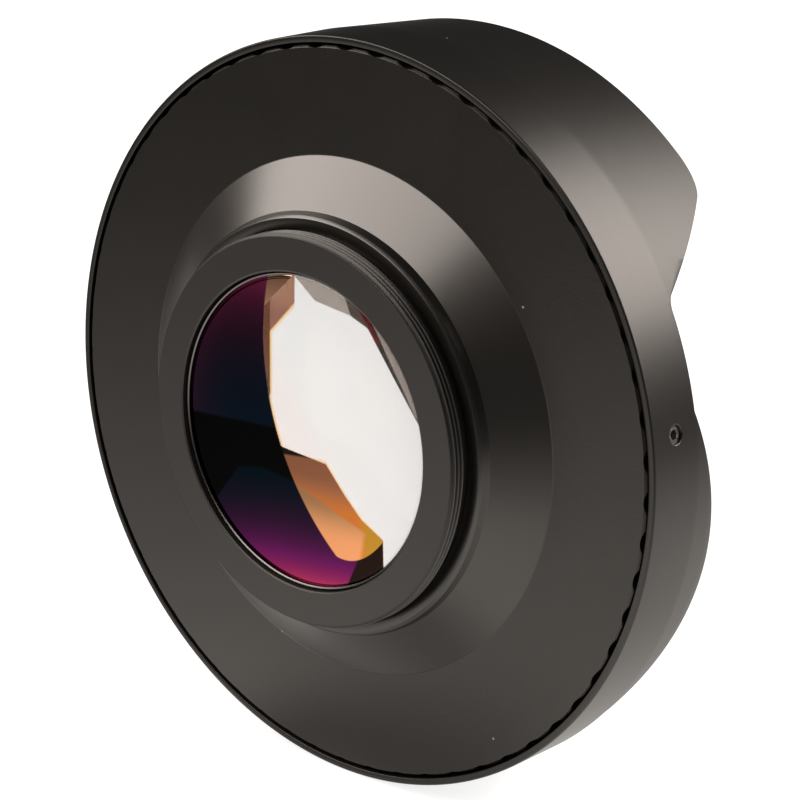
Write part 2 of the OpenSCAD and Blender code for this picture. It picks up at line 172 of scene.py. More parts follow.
class Wire:
    """A shader socket that takes part in Python sums; each sum adds a Math node."""

    def __init__(self, tree, socket):
        self.tree, self.socket = tree, socket

    def add(self, kind, settings=(), inputs=(), out=0):
        """Adds a node of a type, sets its settings, then its sockets from values or wires."""
        node = self.tree.nodes.new(kind)
        for key, value in dict(settings).items():
            setattr(node, key, value)
        for key, value in dict(inputs).items():
            if isinstance(value, Wire):
                self.tree.links.new(value.socket, node.inputs[key])
            else:
                node.inputs[key].default_value = value
        return Wire(self.tree, node.outputs[out])

    def math(self, operation, *values):
        """Math node on values or wires."""
        return self.add("ShaderNodeMath", {"operation": operation}, dict(enumerate(values)))

    def __add__(self, other):
        return self.math("ADD", self, other)

    def __sub__(self, other):
        return self.math("SUBTRACT", self, other)

    def __rsub__(self, other):
        return self.math("SUBTRACT", other, self)

    def __mul__(self, other):
        return self.math("MULTIPLY", self, other)

    def __truediv__(self, other):
        return self.math("DIVIDE", self, other)

    def __pow__(self, other):
        return self.math("POWER", self, other)

    __radd__, __rmul__ = __add__, __mul__

    def exponent(self):
        """e to the power of this wire."""
        return self.math("EXPONENT", self)

    def least(self, limit):
        """The smaller of this wire and a limit."""
        return self.math("MINIMUM", self, limit)

    def most(self, *others):
        """The largest of this wire and the others."""
        top = self
        for other in others:
            top = self.math("MAXIMUM", top, other)
        return top

    def step(self, low, high):
        """0 below low, 1 above high, smooth between; falls where low is above high."""
        a, b, first = (low, high, 0.0) if low < high else (high, low, 1.0)
        values = {"Value": self, "From Min": a, "From Max": b, "To Min": first, "To Max": 1 - first}
        return self.add("ShaderNodeMapRange", {"interpolation_type": "SMOOTHSTEP"}, values)

    def blend(self, first, second):
        """Colour that goes from the first to the second as this wire goes from 0 to 1."""
        sockets = {"Factor": self, 6: first, 7: second}
        return self.add("ShaderNodeMix", {"data_type": "RGBA"}, sockets, 2)


class Finish:
    """A material with one Principled shader and the wires that its patterns start from."""

    def __init__(self, name, **sockets):
        self.material = bpy.data.materials.new(name)
        self.material.use_nodes = True
        self.tree = self.material.node_tree
        self.shader = self.tree.nodes["Principled BSDF"]
        for key, value in sockets.items():
            self.shader.inputs[key.replace("_", " ")].default_value = value
        self.place = Wire(self.tree, None).add("ShaderNodeTexCoord", out="Object")
        parts = [self.place.add("ShaderNodeSeparateXYZ", (), {0: self.place}, k) for k in range(3)]
        self.x, self.y, self.z = parts
        self.radius = (self.x * self.x + self.z * self.z) ** 0.5

    def noise(self, scale, detail=2.0, rough=0.5, along=None):
        """Noise from 0 to 1 with grains of about 1/scale metres, at along or at the object's own place."""
        values = {"Vector": along or self.place, "Scale": scale, "Detail": detail, "Roughness": rough}
        return self.place.add("ShaderNodeTexNoise", (), values)

    def dust(self, scale, share):
        """1 on a few tiny round specks: Voronoi cells of 1/scale metres, of which a share carries a speck."""
        settings = {"Vector": self.place, "Scale": scale}
        near = self.place.add("ShaderNodeTexVoronoi", (), settings, "Distance")
        chance = self.place.add("ShaderNodeTexVoronoi", (), settings, "Color")
        chance = self.place.add("ShaderNodeSeparateColor", (), {0: chance}, 0)
        return near.step(0.06, 0.02) * chance.step(1 - share, 1 - share + 0.004)

    def rings(self):
        """Vector (radius, y, 0) whose noise makes fine turning lines round the axis."""
        return self.place.add("ShaderNodeCombineXYZ", (), {0: self.radius, 1: self.y})

    def side(self, a, b, soft=0.12):
        """1 on the left of the line from a to b, points (x, z) in millimetres seen from behind; soft edge."""
        run, rise = np.subtract(b, a) / np.hypot(*np.subtract(b, a))
        away = (self.z / MM - a[1]) * run - (self.x / MM - a[0]) * rise
        return away.step(-soft, soft)

    def sides(self, bends, soft=0.12):
        """The sides of each stretch of a bent line."""
        return [self.side(a, b, soft) for a, b in zip(bends, bends[1:])]

    def colour(self, red, green, blue):
        """Colour from three wires."""
        return self.place.add("ShaderNodeCombineColor", (), {0: red, 1: green, 2: blue})

    def bump(self, height, strength, distance):
        """Raises the surface by a height from 0 to 1 times a distance in metres."""
        values = {"Height": height, "Strength": strength, "Distance": distance}
        self.set(Normal=self.place.add("ShaderNodeBump", (), values))

    def set(self, **wires):
        """Links wires to the shader's own sockets."""
        for key, wire in wires.items():
            self.tree.links.new(wire.socket, self.shader.inputs[key.replace("_", " ")])


WARM = (1.0, 0.95, 0.91, 1)
DUST = (0.3, 0.28, 0.26, 1)


def housing_finish():
    """Bead-blasted black plate, with a smoother turned cone and shoulder whose upper half has a stronger coat
    as a painted sheen, and a little dust.
    """
    f = Finish("housing_anodised_look", Specular_Tint=WARM, Coat_Roughness=0.26, Coat_IOR=1.6, Coat_Tint=WARM)
    turned_part = f.radius.step((CONE_BASE_R + 0.3) * MM, (CONE_BASE_R - 0.2) * MM)
    grain = f.noise(5200, 2.5, 0.6)
    cloud = f.noise(60, 2.0)
    tone = cloud.blend((0.0062, 0.0055, 0.0048, 1), (0.0092, 0.0082, 0.0072, 1))
    speckle = grain.step(0.62, 0.8) * (1 - turned_part)
    tone = (speckle * 0.5).blend(tone, (0.05, 0.047, 0.043, 1))
    dust = f.dust(240, 0.14)
    f.set(Base_Color=dust.blend(tone, DUST))
    f.set(Roughness=0.29 + 0.08 * grain + 0.04 * cloud + 0.2 * dust)
    # Stronger coat on the upper half of the cone and shoulder: a painted sheen where the highlight falls
    f.set(Coat_Weight=turned_part * (0.2 + 0.55 * f.z.step(-0.02, 0.02)))
    lines = f.noise(2600, 3.0, 0.6, f.rings())
    f.bump(grain * (1 - turned_part) + 0.3 * lines * turned_part, 0.28, 0.00008)
    return f.material


def hood_finish():
    """Satin black band and petals with fine turning lines, and matt black inside."""
    f = Finish("hood_anodised_look", Specular_Tint=WARM)
    inside = f.radius.step((BORE_R + 0.1) * MM, (BORE_R - 0.3) * MM)
    lines = f.noise(2400, 3.0, 0.6, f.rings())
    grain = f.noise(6500, 2.0, 0.6)
    cloud = f.noise(45, 2.0)
    tone = cloud.blend((0.005, 0.0046, 0.0042, 1), (0.0075, 0.007, 0.0064, 1))
    tone = inside.blend(tone, (0.005, 0.005, 0.005, 1))
    f.set(Base_Color=f.dust(220, 0.07).blend(tone, DUST))
    f.set(Roughness=0.3 + 0.08 * grain + 0.05 * lines + 0.32 * inside)
    f.bump(0.5 * lines + 0.5 * grain, 0.16, 0.00006)
    return f.material


def mount_finish():
    """Satin black collar whose thread crests are a little lighter: partly wear, partly a painted highlight
    along the crest lines.
    """
    f = Finish("mount_anodised_look", Specular_Tint=WARM)
    crest = f.radius.step((THREAD_R - 0.17) * MM, (THREAD_R - 0.01) * MM)
    grain = f.noise(5200, 2.5, 0.6)
    lines = f.noise(3000, 3.0, 0.6, f.rings())
    tone = grain.blend((0.012, 0.0112, 0.0105, 1), (0.019, 0.0178, 0.0165, 1))
    # Lighter crests: wear and a painted highlight along the thread crest lines
    f.set(Base_Color=(crest * (0.4 + 0.6 * grain)).blend(tone, (0.11, 0.105, 0.1, 1)))
    f.set(Roughness=0.4 + 0.1 * grain - 0.2 * crest)
    f.bump(0.5 * lines + 0.5 * grain, 0.2, 0.00006)
    return f.material


def ring_finish():
    """Black turned rings with fine lines round the axis."""
    f = Finish("ring_anodised_look")
    lines = f.noise(2600, 3.0, 0.6, f.rings())
    grain = f.noise(4000, 2.0, 0.6)
    f.set(Base_Color=grain.blend((0.01, 0.01, 0.01, 1), (0.017, 0.016, 0.015, 1)))
    f.set(Roughness=0.34 + 0.12 * grain)
    f.bump(0.6 * lines + 0.4 * grain, 0.2, 0.00006)
    return f.material


def rear_ring_finish():
    """Black turned ring whose inner edge is worn bright."""
    f = Finish("rear_ring_anodised_look")
    grain = f.noise(4000, 2.0, 0.6)
    worn = (f.radius + 0.000004 * (grain - 0.5)).step((RING_TOP_R + 0.04) * MM, RING_TOP_R * MM)
    tone = grain.blend((0.012, 0.011, 0.0105, 1), (0.02, 0.0185, 0.0175, 1))
    f.set(Base_Color=worn.blend(tone, (0.13, 0.125, 0.12, 1)), Metallic=worn, Roughness=0.25 + 0.1 * grain)
    f.bump(f.noise(2600, 3.0, 0.6, f.rings()), 0.15, 0.00006)
    return f.material


def screw_finish():
    """Blackened steel with bright worn spots."""
    f = Finish("screw_steel_look", Metallic=0.85)
    worn = f.noise(1500, 3.0, 0.6).step(0.52, 0.7)
    f.set(Base_Color=worn.blend((0.16, 0.155, 0.15, 1), (0.6, 0.58, 0.56, 1)))
    f.set(Roughness=0.3 + 0.15 * f.noise(5000))
    return f.material


def clear_glass_finish(name, refraction, film, scale, detail, low, high):
    """Clear glass with a thin coating and a faint haze between two tints."""
    film_sockets = {"Thin_Film_Thickness": film, "Thin_Film_IOR": 1.3}
    f = Finish(name, IOR=refraction, Transmission_Weight=1.0, **film_sockets)
    haze = f.noise(scale, detail)
    f.set(Base_Color=haze.blend((*low, 1), (*high, 1)))
    f.set(Roughness=0.002 + 0.004 * haze)
    return f.material


# Edges of the painted reflection and see-through colours in the rear glass: points (x, z) in millimetres,
# seen from behind
CLEAR_ARC_X, CLEAR_ARC_Z, CLEAR_ARC_R = 33.7, 13.5, 41.0
BLACK_TOP = (-23.2, -1.2), (-5.7, -0.3)
PINK_TOP = (-0.9, -7.8), (-8.0, -6.9), (-12.8, -7.8), (-18.3, -14.5)
AMBER_TOP = (4.8, -3.7), (-3.4, -2.9)
AMBER_SLOPE = (15.3, -12.7), (11.4, -10.6), (8.3, -7.6), (4.8, -3.7)
AMBER_DARK_END = (-3.0, -3.9), (1.2, -3.5)
AMBER_FOLD = (9.9, -11.7), (-0.2, -8.3)
AMBER_FOLD_END = (11.2, -16.4), (11.8, -13.2)
AMBER_RIGHT, AMBER_FOOT_X, AMBER_FOOT_Z, AMBER_FOOT_BEND = 15.45, 8, -17.4, 0.08
CORNER_EDGE = (10.6, -16.9), (8.6, -21.0)
SALMON_FOOT = (-5.8, 14.1), (-1.7, 18.3)
SALMON_FRINGE = (-5.5, 13.85), (-1.4, 18.05)
SALMON_FOLD = (-7.6, 17.0), (-3.5, 20.9)
SALMON_RIGHT, STRIP_RIGHT = -1.15, -5.95
GREY_LEFT = (-0.2, 22.0), (2.8, 19.8)
GREY_FOOT = (2.8, 19.8), (9.3, 18.8), (12.6, 17.5)
GREY_FOLD = (8.4, 21.0), (9.6, 18.6)
WEDGE_EDGE = (12.6, 17.5), (21.3, 6.2)
SLIVER_EDGE = (13.5, 18.3), (21.35, 6.5)
BLUSH_EDGE = (9.6, -9.5), (5.1, -3.5)


def painted_reflection_tone(f, haze):
    """Mirror part with painted reflection colours: e to a quadratic of x and z makes violet above and pink
    below, black between.
    """
    x, z = f.x / MM, f.z / MM
    square = x * x + z * z
    rise = (0.0092 * square + 0.171 * x + 0.037 * z - 4.85 + 0.3 * haze).exponent()
    violet = f.colour(rise, 0.008 + 0.105 * rise, 0.0145 + 0.355 * rise)
    # Painted black reflection between the violet and the pink
    tone = f.side(*BLACK_TOP, 0.3).blend((0.0032, 0.0032, 0.0034, 1), violet)
    fall = (0.024 * x - 0.316 * z - 0.00065 * square - 8.25 + 0.3 * haze).exponent()
    pink = f.colour(fall, 0.007 + 0.23 * fall * fall, (0.009 + 0.68 * fall).least(0.073))
    right, middle, left = f.sides(PINK_TOP, 0.3)
    return (left * middle * right).blend(tone, pink)


def amber_slope(f, out, soft):
    """1 below the amber flank's bent upper edge, moved out by some millimetres, its right end only up."""
    bends = np.array(AMBER_SLOPE) + out
    bends[0, 0] -= out
    low, middle, high = f.sides(bends, soft)
    return high.most(middle, low)


def painted_amber_reflection(f):
    """Painted reflection of an amber flank: a slope that deepens downwards, yellow at the right, and a
    painted lit face below its fold.
    """
    x, z = f.x / MM, f.z / MM
    deep, yellow, low = z.step(-5.5, -11.0), x.step(10.5, 13.0), z.step(-9.0, -15.0)
    slope = 0.25 + 0.24 * deep - 0.1 * yellow
    slope = f.colour(slope, slope * (0.4 - 0.1 * deep + 0.2 * yellow), slope * (0.21 - 0.15 * deep))
    # Painted lit face below the fold
    lit = 0.3 + 0.34 * low
    lit = f.colour(lit, lit * (0.5 - 0.08 * low), lit * (0.23 - 0.05 * low))
    fold = f.side(*AMBER_FOLD, 0.25) * f.side(*AMBER_FOLD_END, 0.6)
    # Painted dark end at the left of the amber reflection
    return f.side(*AMBER_DARK_END, 0.2).blend(fold.blend(slope, lit), (0.014, 0.011, 0.008, 1))


def painted_fringe_mask(f, arc):
    """1 on the painted orange fringe at the edge of the clear part: at the arc, the strip, the salmon patch,
    the amber flank.
    """
    x, z = f.x / MM, f.z / MM
    at_arc = arc.step(CLEAR_ARC_R - 0.7, CLEAR_ARC_R - 0.1) * z.step(5.5, 3.5)
    at_strip = x.step(-5.35, -5.8) * z.step(3.5, 5.0) * z.step(14.6, 14.2)
    at_salmon = f.side(*SALMON_FRINGE, 0.25) * z.step(13.6, 14.0) * x.step(-1.1, -1.3)
    at_amber = amber_slope(f, 0.2, 0.2) * z.step(-3.0, -3.6) * x.step(15.2, 14.9)
    return at_arc.most(at_strip, at_salmon, at_amber)


def painted_see_through_tint(f, arc, salmon):
    """Painted colours of the view through the glass: near white, salmon and grey at the top, a painted dark
    wedge at the right.
    """
    x, z = f.x / MM, f.z / MM
    tint = f.side(*BLUSH_EDGE, 3.5).blend((0.79, 0.7, 0.6, 1), (0.85, 0.65, 0.55, 1))
    tint = painted_fringe_mask(f, arc).blend(tint, (0.84, 0.36, 0.08, 1))
    rosy = z.step(16.0, 20.0).blend((0.084, 0.0164, 0.0082, 1), (0.153, 0.0364, 0.0129, 1))
    tint = salmon.blend(tint, rosy)
    strip = x.step(STRIP_RIGHT + 0.15, STRIP_RIGHT - 0.15) * z.step(2.5, 5.0)
    # Painted dark strip in the view through the glass
    tint = strip.blend(tint, (0.022, 0.0026, 0.0003, 1))
    near, beyond = f.sides(GREY_FOOT)
    top = near.most(beyond) * f.side(*GREY_LEFT) * x.step(SALMON_RIGHT - 0.15, SALMON_RIGHT + 0.15)
    # Grey at the top, with a painted dark shade beside its fold
    grey = f.side(*GREY_FOLD).blend((0.148, 0.1, 0.068, 1), (0.0075, 0.004, 0.0026, 1))
    tint = top.blend(tint, grey)
    # Painted dark shade of the wedge at the right, with a lighter sliver
    wedge = z.step(15.0, 16.2).blend((0.0022, 0.0019, 0.0008, 1), (0.009, 0.0002, 0.0002, 1))
    wedge = f.side(*SLIVER_EDGE).blend(wedge, (0.1, 0.066, 0.047, 1))
    return f.side(*WEDGE_EDGE).blend(tint, wedge)


def rear_glass_painted_reflections():
    """Rear glass: clear where the light comes through on the right, tinted with painted see-through colours;
    a mirror part on the left of an arc with painted reflection colours from violet over black to pink, and a
    painted amber reflection between them. The colours lie on its rear face alone."""
    f = Finish("rear_glass_painted_look", IOR=1.55, Transmission_Weight=1.0, Specular_Tint=(0.45, 0.45, 0.45, 1))
    haze = f.noise(70, 2.0)
    x, z = f.x / MM, f.z / MM
    rear_face = f.y.step(0.003, 0.0025)
    arc = ((x - CLEAR_ARC_X) ** 2 + (z - CLEAR_ARC_Z) ** 2) ** 0.5
    inside = arc.step(CLEAR_ARC_R + 0.15, CLEAR_ARC_R - 0.15)

    right_end = x.step(AMBER_RIGHT + 0.15, AMBER_RIGHT - 0.15)
    below = f.side(*AMBER_TOP) * right_end * amber_slope(f, 0.0, 0.12)
    bowl = z - AMBER_FOOT_BEND * (x - AMBER_FOOT_X) ** 2
    bowl = bowl.step(AMBER_FOOT_Z - 0.1, AMBER_FOOT_Z + 0.1)
    # Painted reflection colours of the mirror part
    coating = painted_reflection_tone(f, haze)
    tone = (below * inside).blend(coating, painted_amber_reflection(f))
    # Painted dark corner below the amber bowl
    corner = f.side(*CORNER_EDGE).blend(coating, (0.013, 0.0075, 0.006, 1))
    tone = (below * (1 - bowl)).blend(tone, corner)

    salmon = x.step(SALMON_RIGHT + 0.15, SALMON_RIGHT - 0.15) * f.side(*SALMON_FOOT)
    # Upper part of the salmon patch: a painted salmon reflection on the mirror part
    folded = salmon * f.side(*SALMON_FOLD, 0.04)
    tone = (folded * inside).blend(tone, (1.0, 0.52, 0.33, 1))
    covered = (1 - inside * (1 - below) * (1 - folded)) * rear_face
    tint = rear_face.blend((1.0, 1.0, 1.0, 1), painted_see_through_tint(f, arc, salmon))
    f.set(Base_Color=covered.blend(tint, tone), Metallic=covered)
    f.set(Roughness=0.002 + 0.004 * haze)
    return f.material


def plain_finish(name, low, high, rough, scale=3000):
    """Matt surface with a fine grain between two greys."""
    f = Finish(name)
    grain = f.noise(scale, 2.5, 0.6)
    f.set(Base_Color=grain.blend((low, low, low, 1), (high, high, high, 1)))
    f.set(Roughness=rough + 0.1 * grain)
    f.bump(grain, 0.25, 0.00008)
    return f.material


front_tints = (0.96, 0.98, 0.97), (0.98, 0.98, 1.0)
inner_tints = (0.97, 0.97, 0.98), (0.99, 0.99, 1.0)
LOOKS = {
    "mount_anodised": mount_finish(),
    "housing_anodised": housing_finish(),
    "hood_anodised": hood_finish(),
    "ring_anodised": ring_finish(),
    "rear_ring_anodised": rear_ring_finish(),
    "cell_matt": plain_finish("cell_matt_look", 0.002, 0.004, 0.7),
    "screw_steel": screw_finish(),
    "front_glass": clear_glass_finish("front_glass_look", 1.52, 95.0, 90, 3.0, *front_tints),
    "inner_glass": clear_glass_finish("inner_glass_look", 1.6, 100.0, 120, 2.0, *inner_tints),
    "rear_glass": rear_glass_painted_reflections(),
    "seal_rubber": plain_finish("seal_rubber_look", 0.01, 0.022, 0.7, 1800),
    "shim_plastic": plain_finish("shim_plastic_look", 0.012, 0.02, 0.5),
}
for row in frame["record"]["subparts"]:
    node = frame["nodes"][row["node"]]
    node.data.materials.clear()
    node.data.materials.append(LOOKS[row["material_slot"]])


def mount_collar():
    """Collar with a right-handed thread between its ends, and a turned back and bore.

    The thread's radius is crest - depth w, where w is |2 frac((y - pitch c / 360) / pitch) - 1| with its ends
    cut flat, and it is held below the cone of the lead.
    """
    y = np.linspace(MOUNT_END, THREAD_TOP, 48)
    clock = np.linspace(0, 360, 480, endpoint=False)
    turn = (y[:, None] - THREAD_PITCH * clock[None, :] / 360) / THREAD_PITCH
    wave = np.abs(2 * (turn - np.floor(turn)) - 1)
    crest_flat, flank = 0.12, 0.72
    wave = np.clip((wave - crest_flat) / flank, 0, 1)
    lead = THREAD_R - LEAD_DEPTH + (y[:, None] - MOUNT_END) * LEAD_DEPTH / LEAD_LENGTH
    thread = np.minimum(THREAD_R - THREAD_DEPTH * wave, lead)
    back = rounded([
        (THREAD_R - 0.6, THREAD_TOP + 0.04, 0.02),
        (SPIGOT_R, THREAD_TOP + 0.06, 0.05),
        (SPIGOT_R, MOUNT_FRONT, 0.1),
        (SEAT_R, MOUNT_FRONT, 0.1),
        (SEAT_R, FLINT_FRONT, 0.05),
        (POCKET_R, FLINT_FRONT, 0.05),
        (POCKET_R, MOUNT_END + 0.15, 0.04),
        (POCKET_R + 0.26, MOUNT_END, 0.04),
        (THREAD_R - LEAD_DEPTH - 0.08, MOUNT_END, 0.03)])
    radius = np.concatenate([thread, np.broadcast_to(back[:, :1], (len(back), len(clock)))])
    places = np.concatenate([y, back[:, 1]])[:, None]
    points = turned(radius, places, clock)
    faces = grid_faces(len(places), len(clock))
    piece("mount_collar", points, faces, "lens_body", "mount_anodised", ["mount_ring"])


def notched_housing():
    """Shoulder, cone and plate turned from one profile, its lip and the lip's chamfer cut by shallow notches.

    A notch is a circle of radius n about a point at radius q: at an angle a from its middle it leaves metal
    up to q cos a - sqrt(n^2 - q^2 sin^2 a), and the lip lies at the smaller of that and its own radius.
    """
    n = ((NOTCH_W / 2) ** 2 + NOTCH_DEPTH ** 2) / (2 * NOTCH_DEPTH)
    q = LIP_R - NOTCH_DEPTH + n
    half = np.degrees(np.arcsin(NOTCH_W / 2 / LIP_R))
    pitch = 360 / NOTCHES
    offset = np.concatenate([np.linspace(-half, half, 9), np.linspace(half, pitch - half, 9)[1:-1]])
    a = np.radians(np.clip(offset, -half, half))
    left_r = np.tile(q * np.cos(a) - np.sqrt(n ** 2 - (q * np.sin(a)) ** 2), NOTCHES)
    clock = (NOTCH_CLOCK + pitch * np.arange(NOTCHES)[:, None] + offset[None, :]).ravel()
    before_chamfer = [
        (SPIGOT_R + BORE_FIT, MOUNT_SEAT + SEAT_RELIEF, 0.05),
        (SEAT_INNER_R, MOUNT_SEAT + SEAT_RELIEF, 0.05),
        (SEAT_INNER_R, MOUNT_SEAT, 0.05),
        (SHOULDER_R - SHOULDER_CHAMFER, MOUNT_SEAT, 0.05),
        (SHOULDER_R, MOUNT_SEAT + SHOULDER_CHAMFER, 0.08),
        (CONE_TOP_R, CONE_TOP, 0.15),
        (CONE_BASE_R, FACE, 0.5),
        (LIP_R - LIP_CHAMFER, FACE, 0.05)]
    after_chamfer = [
        (LIP_R, FACE + LIP_CHAMFER, 0.05),
        (LIP_R, LIP_TOP, 0.04),
        (LAND_R, LIP_TOP, 0.08),
        (LAND_R, SCREW_Y - GROOVE_HALF, 0.08),
        (GROOVE_R, SCREW_Y - GROOVE_FLOOR_HALF, 0.1),
        (GROOVE_R, SCREW_Y + GROOVE_FLOOR_HALF, 0.1),
        (LAND_R, SCREW_Y + GROOVE_HALF, 0.08),
        (LAND_R, LAND_TOP, 0.15),
        (RING_BORE_R, LAND_TOP, 0.15),
        (RING_BORE_R, FRONT_FLAT, 0.05),
        (FRONT_POCKET_R, FRONT_FLAT, 0.05),
        (FRONT_POCKET_R, PLATE_FRONT, 0.05),
        (CELL_BED_R, PLATE_FRONT, 0.1),
        (CELL_BED_R, CELL_BED, 0.05),
        (SPIGOT_R - WEB_W, CELL_BED, 0.1),
        (SPIGOT_R - WEB_W, MOUNT_FRONT, 0.1),
        (SPIGOT_R + BORE_FIT, MOUNT_FRONT, 0.05)]
    steps = 2
    profile = rounded(before_chamfer + after_chamfer, steps)
    first = len(before_chamfer) * (steps + 1)
    chamfer = np.linspace(profile[first - 1], profile[first], 8)[1:-1]
    profile = np.insert(profile, first, chamfer, 0)
    radius, y = profile[:, :1], profile[:, 1:]
    lip = (y > FACE - 0.01) & (y < LIP_TOP + 0.01) & (radius > LAND_R)
    points = turned(np.where(lip, np.minimum(radius, left_r[None, :]), radius), y, clock)
    faces = grid_faces(len(profile), len(clock))
    piece("notched_housing", points, faces, "lens_body", "housing_anodised", ["rear_housing"])


def petal_height(x):
    """Height of the milled outline at x from the middle plane: crest arc, valley, leaning side, tip."""
    x = np.abs(x)
    lean = np.radians(PETAL_LEAN)
    bend = (1 - np.cos(lean)) / np.sin(lean)
    fillet_x, fillet_y = PETAL_FOOT - FILLET_R * bend, CREASE + FILLET_R
    corner_x = PETAL_FOOT + (TIP - CREASE) / np.tan(lean) + CORNER_R * bend
    crest = np.maximum(CREASE, CREST - CREST_ARC + np.sqrt(np.maximum(CREST_ARC ** 2 - x ** 2, 0)))
    fillet = fillet_y - np.sqrt(np.maximum(FILLET_R ** 2 - (x - fillet_x) ** 2, 0))
    side = CREASE + (x - PETAL_FOOT) * np.tan(lean)
    corner = TIP - CORNER_R + np.sqrt(np.maximum(CORNER_R ** 2 - (x - corner_x) ** 2, 0))
    side_start, side_end = fillet_x + FILLET_R * np.sin(lean), corner_x - CORNER_R * np.sin(lean)
    reach = [x < fillet_x, x < side_start, x < side_end, x < corner_x]
    return np.select(reach, [crest, fillet, side, corner], TIP)


def band_radius(y):
    """Outer radius of the band, which widens evenly from the rim to the crease."""
    return RIM_R + (BAND_R - RIM_R) * (y - RIM) / (CREASE - RIM)


def hood_rows(off):
    """Rows of (radius, y) round the hood: up the outer wall, over the milled edge, down inside.

    The angle off counts from the middle of a tall petal. The first and the last rows lie at the rim, and next
    to them, outside and inside, come the even rows of the band that the screw holes cut.
    """
    across = np.cos(np.radians(off))[None, :]
    top_out, top_in = petal_height(BAND_R * across), petal_height(PETAL_INNER_R * across)
    wall_top, inner_top, inner_foot = top_out - EDGE_ROUND, top_in - EDGE_ROUND, LEDGE + 0.1
    foot = np.minimum(CREASE, wall_top)
    foot_r = band_radius(foot)
    wall_r = BAND_R - (BAND_R - PETAL_TIP_R) / (TIP - CREASE) * (wall_top - CREASE)
    wall_r = np.minimum(wall_r, band_radius(wall_top))
    band_rows = SCREW_Y + np.linspace(-HOLE_REACH, HOLE_REACH, HOLE_ROWS)
    turn = np.radians([22.5, 45.0, 67.5, 90.0])
    rows = [(RIM_BORE_R + 0.1, RIM), (RIM_R - RIM_CHAMFER - 0.1, RIM), (RIM_R - RIM_CHAMFER, RIM + 0.01),
            (RIM_R - 0.01, RIM + RIM_CHAMFER), (band_radius(RIM + 0.3), RIM + 0.3)]
    rows += [(band_radius(y), y) for y in band_rows]
    rows += [(band_radius(CREASE - 0.6), CREASE - 0.6), (foot_r, foot)]
    rows += [(foot_r + (wall_r - foot_r) * s, foot + (wall_top - foot) * s) for s in (0.04, 0.35, 0.7, 1.0)]
    rows += [(wall_r - EDGE_ROUND * (1 - np.cos(t)), top_out - EDGE_ROUND * (1 - np.sin(t))) for t in turn]
    rows += [(PETAL_INNER_R + EDGE_ROUND * (1 - np.cos(t)), top_in - EDGE_ROUND * (1 - np.sin(t)))
             for t in turn[::-1]]
    rows += [(PETAL_INNER_R, inner_foot + (inner_top - inner_foot) * s) for s in (1.0, 0.5, 0.0)]
    rows += [(PETAL_INNER_R + 0.1, LEDGE), (BORE_R - 0.1, LEDGE), (BORE_R, LEDGE - 0.1)]
    rows += [(BORE_R, y) for y in band_rows[::-1]]
    rows += [(BORE_R, RIM_BORE_TOP + 0.05), (BORE_R + 0.05, RIM_BORE_TOP), (RIM_BORE_R - 0.05, RIM_BORE_TOP),
             (RIM_BORE_R, RIM_BORE_TOP - 0.05), (RIM_BORE_R, RIM + 0.1)]
    ones = np.ones((1, len(off)))
    return np.concatenate([r * ones for r, _ in rows]), np.concatenate([y * ones for _, y in rows])


def border(block):
    """Vertex numbers round the border of a block of the grid."""
    return np.concatenate([block[0, :-1], block[:-1, -1], block[-1, :0:-1], block[:0:-1, 0]])


def hole_rings(swing, rise, clock):
    """Rings of points that blend from a patch's outline to a screw hole's circle, through the wall and back.

    A ring with a share s lies at (1 - s) times the outline plus s times the circle, in angle and in height;
    None for its depth below the band puts it on the bore.
    """
    around = np.arctan2(rise, swing * band_radius(SCREW_Y))
    bevel_r = SCREW_HOLE_R + 0.2
    rings = [(0.35, 0.0, bevel_r), (0.75, 0.0, bevel_r), (1.0, 0.0, bevel_r), (1.0, 0.03, SCREW_HOLE_R + 0.1),
             (1.0, 0.14, SCREW_HOLE_R), (1.0, None, SCREW_HOLE_R), (0.6, None, SCREW_HOLE_R)]
    made = []
    for share, depth, hole in rings:
        height = rise * (1 - share) + hole * np.sin(around) * share
        at = BORE_R if depth is None else band_radius(SCREW_Y + height) - depth
        angle = np.radians(clock) + swing * (1 - share) + np.arcsin(hole * np.cos(around) / at) * share
        made.append(np.stack([at * np.sin(angle), SCREW_Y + height, at * np.cos(angle)], -1) * MM)
    return np.array(made)


def petal_hood():
    """Band and petals as one closed grid; at each screw hole a patch of cells gives way to rings."""
    off = np.arange(HOOD_COLUMNS) * 360 / HOOD_COLUMNS
    radius, places = hood_rows(off)
    clock = HOOD_CLOCK + off
    points = [turned(radius, places, clock).reshape(-1, 3)]
    cells = np.arange(radius.size).reshape(radius.shape)
    keep = np.ones(radius.shape, bool)
    out_row, in_row = RIM_ROWS, len(radius) - RIM_ROWS - HOLE_ROWS
    faces, count = [], radius.size
    for k in range(SCREWS):
        middle = round((SCREW_CLOCK + 360 / SCREWS * k - HOOD_CLOCK) / 360 * HOOD_COLUMNS) % HOOD_COLUMNS
        reach = np.arange(middle - HOLE_HALF_COLUMNS, middle + HOLE_HALF_COLUMNS + 1) % HOOD_COLUMNS
        keep[out_row:out_row + HOLE_ROWS - 1, reach[:-1]] = False
        keep[in_row:in_row + HOLE_ROWS - 1, reach[:-1]] = False
        outer = border(cells[out_row:out_row + HOLE_ROWS][:, reach])
        inner = border(cells[in_row:in_row + HOLE_ROWS][::-1][:, reach])
        swing = np.radians(off[outer % HOOD_COLUMNS] - off[middle])
        swing = (swing + np.pi) % (2 * np.pi) - np.pi
        rings = hole_rings(swing, places.ravel()[outer] - SCREW_Y, clock[middle])
        numbers = count + np.arange(rings[..., 0].size).reshape(rings.shape[:2])
        strip = np.concatenate([outer[None], numbers, inner[None]])
        beside = np.roll(strip, -1, 1)
        faces.append(np.stack([strip[:-1], beside[:-1], beside[1:], strip[1:]], -1).reshape(-1, 4))
        points.append(rings.reshape(-1, 3))
        count += numbers.size
    faces = np.concatenate([grid_faces(*radius.shape)[keep.ravel()]] + faces)
    piece("petal_hood", np.concatenate(points), faces, "hood", "hood_anodised", ["hood"])


